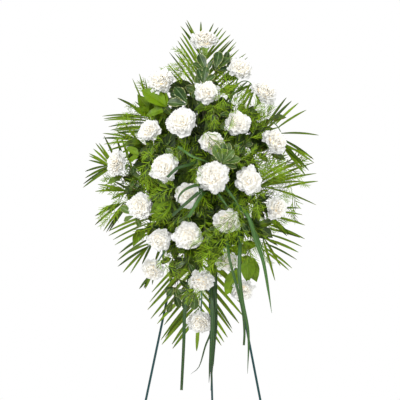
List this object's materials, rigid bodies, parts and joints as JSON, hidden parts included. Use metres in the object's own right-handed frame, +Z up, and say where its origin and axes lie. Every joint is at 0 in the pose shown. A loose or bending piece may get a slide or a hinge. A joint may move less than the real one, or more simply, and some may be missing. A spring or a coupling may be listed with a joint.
{
  "type": "standing funeral arrangement",
  "caption": "Standing funeral spray of white carnations, palm fronds, fern and mixed leaves in wet foam, on a green wire easel whose rear leg folds.",
  "frame": {"origin": "on the floor, under the middle of the object's bounding box", "axes": "+Z is up, the front of the spray faces -Y, and +X is to the right as seen from the front"},
  "size_m": [0.6231, 0.8474, 1.6426],
  "materials": {
    "green_enamel": "satin",
    "green_plastic": "satin",
    "wet_foam": "matte",
    "white_petals": "matte",
    "palm_green": "satin",
    "salal_green": "satin",
    "pittosporum_green": "satin",
    "lily_grass_green": "satin",
    "fern_green": "matte"
  },
  "bodies": {
    "stand": {"front_leg_left": "green_enamel", "front_leg_right": "green_enamel", "hinge_bar": "green_enamel", "stop_bar": "green_enamel", "crossbar": "green_enamel", "rest_hook_left": "green_enamel", "rest_hook_right": "green_enamel", "foam_tray": "green_plastic", "cable_tie_upper": "green_plastic", "cable_tie_lower": "green_plastic", "foam_block": "wet_foam", "carnation_01": "white_petals", "carnation_02": "white_petals", "carnation_03": "white_petals", "carnation_04": "white_petals", "carnation_05": "white_petals", "carnation_06": "white_petals", "carnation_07": "white_petals", "carnation_08": "white_petals", "carnation_09": "white_petals", "carnation_10": "white_petals", "carnation_11": "white_petals", "carnation_12": "white_petals", "carnation_13": "white_petals", "carnation_14": "white_petals", "carnation_15": "white_petals", "carnation_16": "white_petals", "carnation_17": "white_petals", "carnation_18": "white_petals", "carnation_19": "white_petals", "carnation_20": "white_petals", "carnation_21": "white_petals", "carnation_22": "white_petals", "carnation_23": "white_petals", "carnation_24": "white_petals", "carnation_25": "white_petals", "palm_frond_01": "palm_green", "palm_frond_02": "palm_green", "palm_frond_03": "palm_green", "palm_frond_04": "palm_green", "palm_frond_05": "palm_green", "palm_frond_06": "palm_green", "palm_frond_07": "palm_green", "palm_frond_08": "palm_green", "palm_frond_09": "palm_green", "palm_frond_10": "palm_green", "salal_stem_01": "salal_green", "salal_stem_02": "salal_green", "salal_stem_03": "salal_green", "salal_stem_04": "salal_green", "pittosporum_01": "pittosporum_green", "pittosporum_02": "pittosporum_green", "lily_grass_01": "lily_grass_green", "lily_grass_02": "lily_grass_green", "lily_grass_03": "lily_grass_green", "lily_grass_04": "lily_grass_green", "fern_plume_01": "fern_green", "fern_plume_02": "fern_green", "fern_plume_03": "fern_green"},
    "rear_leg": {"rear_leg": "green_enamel"}
  },
  "joints": [
    {"name": "rear_leg_fold", "type": "hinge", "parent": "stand", "child": "rear_leg", "pos_m": [0, -0.12858, 1.318], "axis": [-1, 0, 0], "range_deg": [0, 28]}
  ]
}
